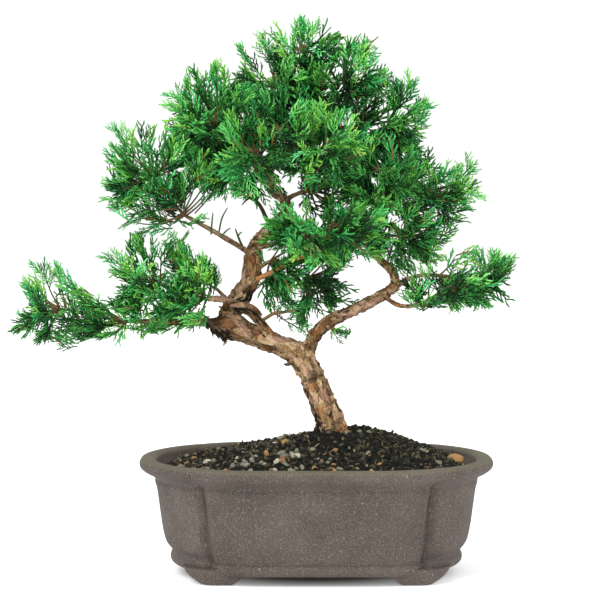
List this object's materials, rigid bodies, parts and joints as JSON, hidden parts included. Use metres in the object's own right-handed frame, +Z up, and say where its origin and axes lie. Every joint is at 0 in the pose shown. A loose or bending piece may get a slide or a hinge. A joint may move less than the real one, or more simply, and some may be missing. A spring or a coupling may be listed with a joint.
{
  "type": "chinese juniper bonsai in a pot",
  "caption": "Small trained juniper with a leaning trunk, twisting limbs and open clouds of green needles, growing in a rectangular clay bonsai pot on bracket feet.",
  "frame": {"origin": "middle of the whole plant's bounding box in X and Y, at the level of the soles of the pot's feet", "axes": "+Z up along the height of the tree, +X to the right seen from the front, +Y from the front of the tree to its back"},
  "size_m": [0.2962, 0.147, 0.3227],
  "materials": {
    "clay": "unglazed mauve-brown clay, matt",
    "soil": "dark gritty soil with pale pebbles",
    "bark": "tan fibrous bark, matt",
    "needles": "fresh green scale-like needles"
  },
  "bodies": {
    "root": {"pot": "clay", "soil": "soil", "trunk": "bark", "left_limb": "bark", "leader_lower": "bark", "leader_upper": "bark", "right_limb_lower": "bark", "right_limb_upper": "bark", "bough_low_left_tip": "bark", "bough_low_left": "bark", "bough_left": "bark", "bough_upper_left": "bark", "bough_left_front": "bark", "bough_apex_left": "bark", "bough_apex_front": "bark", "bough_apex_right": "bark", "bough_upper_right": "bark", "bough_front": "bark", "bough_right_front": "bark", "bough_right_middle": "bark", "bough_middle": "bark", "bough_middle_low": "bark", "bough_right_low_near": "bark", "bough_right_low_far": "bark", "bough_sprig": "bark", "bough_left_tuft": "bark", "bough_back_left": "bark", "bough_back_top": "bark", "bough_back_middle": "bark", "bough_back_right": "bark", "bough_back_low": "bark", "foliage_apex": "needles", "foliage_right_upper": "needles", "foliage_low_left_tip": "needles", "foliage_low_left": "needles", "foliage_left": "needles", "foliage_upper_left": "needles", "foliage_left_front": "needles", "foliage_apex_left": "needles", "foliage_apex_front": "needles", "foliage_apex_right": "needles", "foliage_upper_right": "needles", "foliage_front": "needles", "foliage_right_front": "needles", "foliage_right_middle": "needles", "foliage_middle": "needles", "foliage_middle_low": "needles", "foliage_right_low_near": "needles", "foliage_right_low_far": "needles", "foliage_sprig": "needles", "foliage_left_tuft": "needles", "foliage_back_left": "needles", "foliage_back_top": "needles", "foliage_back_middle": "needles", "foliage_back_right": "needles", "foliage_back_low": "needles"}
  },
  "joints": []
}
